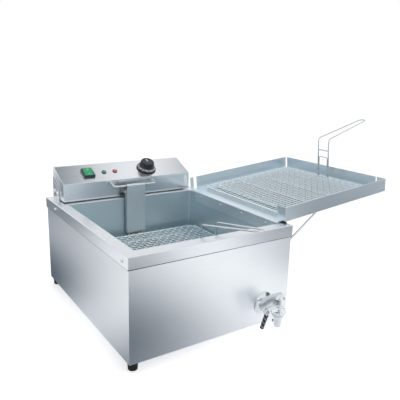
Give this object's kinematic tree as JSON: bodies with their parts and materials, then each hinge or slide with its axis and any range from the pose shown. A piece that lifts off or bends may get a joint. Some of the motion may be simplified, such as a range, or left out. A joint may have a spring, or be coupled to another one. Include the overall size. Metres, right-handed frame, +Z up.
{
  "type": "countertop donut fryer",
  "caption": "Countertop electric donut fryer: steel casing with oil tank, tilting control head with heating elements, drain tap, hook-on drain tray on a folding prop, and wire baskets.",
  "frame": {"origin": "centre of the casing's footprint, on the counter under the rubber feet", "axes": "+X to the right seen from the front, towards the drain tray; +Y to the back; +Z up"},
  "size_m": [0.9015, 0.6424, 0.4606],
  "materials": {
    "casing_steel": "brushed stainless sheet",
    "deck_steel": "brushed stainless sheet, bright edges",
    "tank_steel": "satin stainless sheet",
    "head_steel": "brushed stainless sheet",
    "tray_steel": "satin stainless sheet",
    "wire_chrome": "bright plated wire",
    "tap_chrome": "polished plating",
    "fastener_steel": "plain steel",
    "foot_rubber": "matt black",
    "black_plastic": "matt black moulding",
    "rocker_green": "translucent green",
    "lens_green": "translucent green",
    "lens_amber": "translucent amber",
    "element_steel": "dull stainless tube",
    "bulb_copper": "copper",
    "terminal_ivory": "ivory moulding"
  },
  "bodies": {
    "casing": {"outer_casing": "casing_steel", "rear_panel": "casing_steel", "base_pan": "casing_steel", "top_surround": "deck_steel", "oil_tank": "tank_steel", "rubber_feet": "foot_rubber", "foot_screws": "fastener_steel", "foot_nuts": "fastener_steel", "surround_screws": "fastener_steel", "rear_panel_screws": "fastener_steel", "quadrant_plates": "deck_steel", "pivot_bolts": "fastener_steel", "drain_nipple": "tap_chrome", "nipple_nut": "fastener_steel", "tap_flange": "tap_chrome", "tap_body": "tap_chrome", "tap_bonnet": "tap_chrome", "tap_spout": "tap_chrome", "prop_saddles": "tray_steel", "saddle_screws": "fastener_steel"},
    "control_head": {"head_shell": "head_steel", "head_back_cover": "head_steel", "head_base_plate": "head_steel", "back_cover_screws": "fastener_steel", "guide_bolts": "fastener_steel", "switch_housing": "black_plastic", "pilot_bodies": "black_plastic", "green_lens": "lens_green", "amber_lens": "lens_amber", "thermostat_body": "black_plastic", "thermostat_bulb": "bulb_copper", "limit_cutout": "black_plastic", "terminal_block": "terminal_ivory", "cable_gland": "black_plastic", "left_element": "element_steel", "right_element": "element_steel", "element_plate": "head_steel", "element_braces": "head_steel", "hanger_bar": "wire_chrome", "element_guard": "head_steel"},
    "switch_rocker": {"rocker": "rocker_green"},
    "thermostat_dial": {"thermostat_spindle": "fastener_steel", "thermostat_knob": "black_plastic"},
    "drain_valve": {"valve_ball": "fastener_steel", "valve_stem": "fastener_steel", "tap_lever": "tap_chrome", "lever_sleeve": "black_plastic", "lever_nut": "fastener_steel"},
    "tray": {"drain_tray": "tray_steel", "tray_hook": "tray_steel", "hook_rivets": "fastener_steel", "tray_catches": "tray_steel"},
    "prop": {"tray_prop": "wire_chrome"},
    "tank_basket": {"tank_basket_frame": "wire_chrome", "tank_basket_net": "wire_chrome", "tank_basket_handle": "wire_chrome"},
    "tray_basket": {"tray_basket_frame": "wire_chrome", "tray_basket_net": "wire_chrome", "tray_basket_handle": "wire_chrome"}
  },
  "joints": [
    {"name": "head_tilt", "type": "hinge", "parent": "casing", "child": "control_head", "pos_m": [0, 0.24, 0.2676], "axis": [-1, 0, 0], "range_deg": [0, 85]},
    {"name": "switch_rock", "type": "hinge", "parent": "control_head", "child": "switch_rocker", "pos_m": [-0.11, 0.20142, 0.31661], "axis": [-1, 0, 0], "range_deg": [0, 20]},
    {"name": "thermostat_turn", "type": "hinge", "parent": "control_head", "child": "thermostat_dial", "pos_m": [0.065, 0.20246, 0.31433], "axis": [0, 0.4163, -0.9092], "range_deg": [0, 270]},
    {"name": "tap_open", "type": "hinge", "parent": "casing", "child": "drain_valve", "pos_m": [0.135, -0.3055, 0.08], "axis": [-1, 0, 0], "range_deg": [0, 90]},
    {"name": "tray_lift", "type": "slide", "parent": "casing", "child": "tray", "axis": [0, 0, 1], "range_m": [0, 0.08]},
    {"name": "prop_fold", "type": "hinge", "parent": "casing", "child": "prop", "pos_m": [0.213, -0.045, 0.187], "axis": [0, 1, 0], "range_deg": [0, 125]},
    {"name": "tank_basket_lift", "type": "slide", "parent": "control_head", "child": "tank_basket", "axis": [0, 0, 1], "range_m": [0, 0.12]},
    {"name": "tray_basket_lift", "type": "slide", "parent": "tray", "child": "tray_basket", "axis": [0, 0, 1], "range_m": [0, 0.1]}
  ]
}
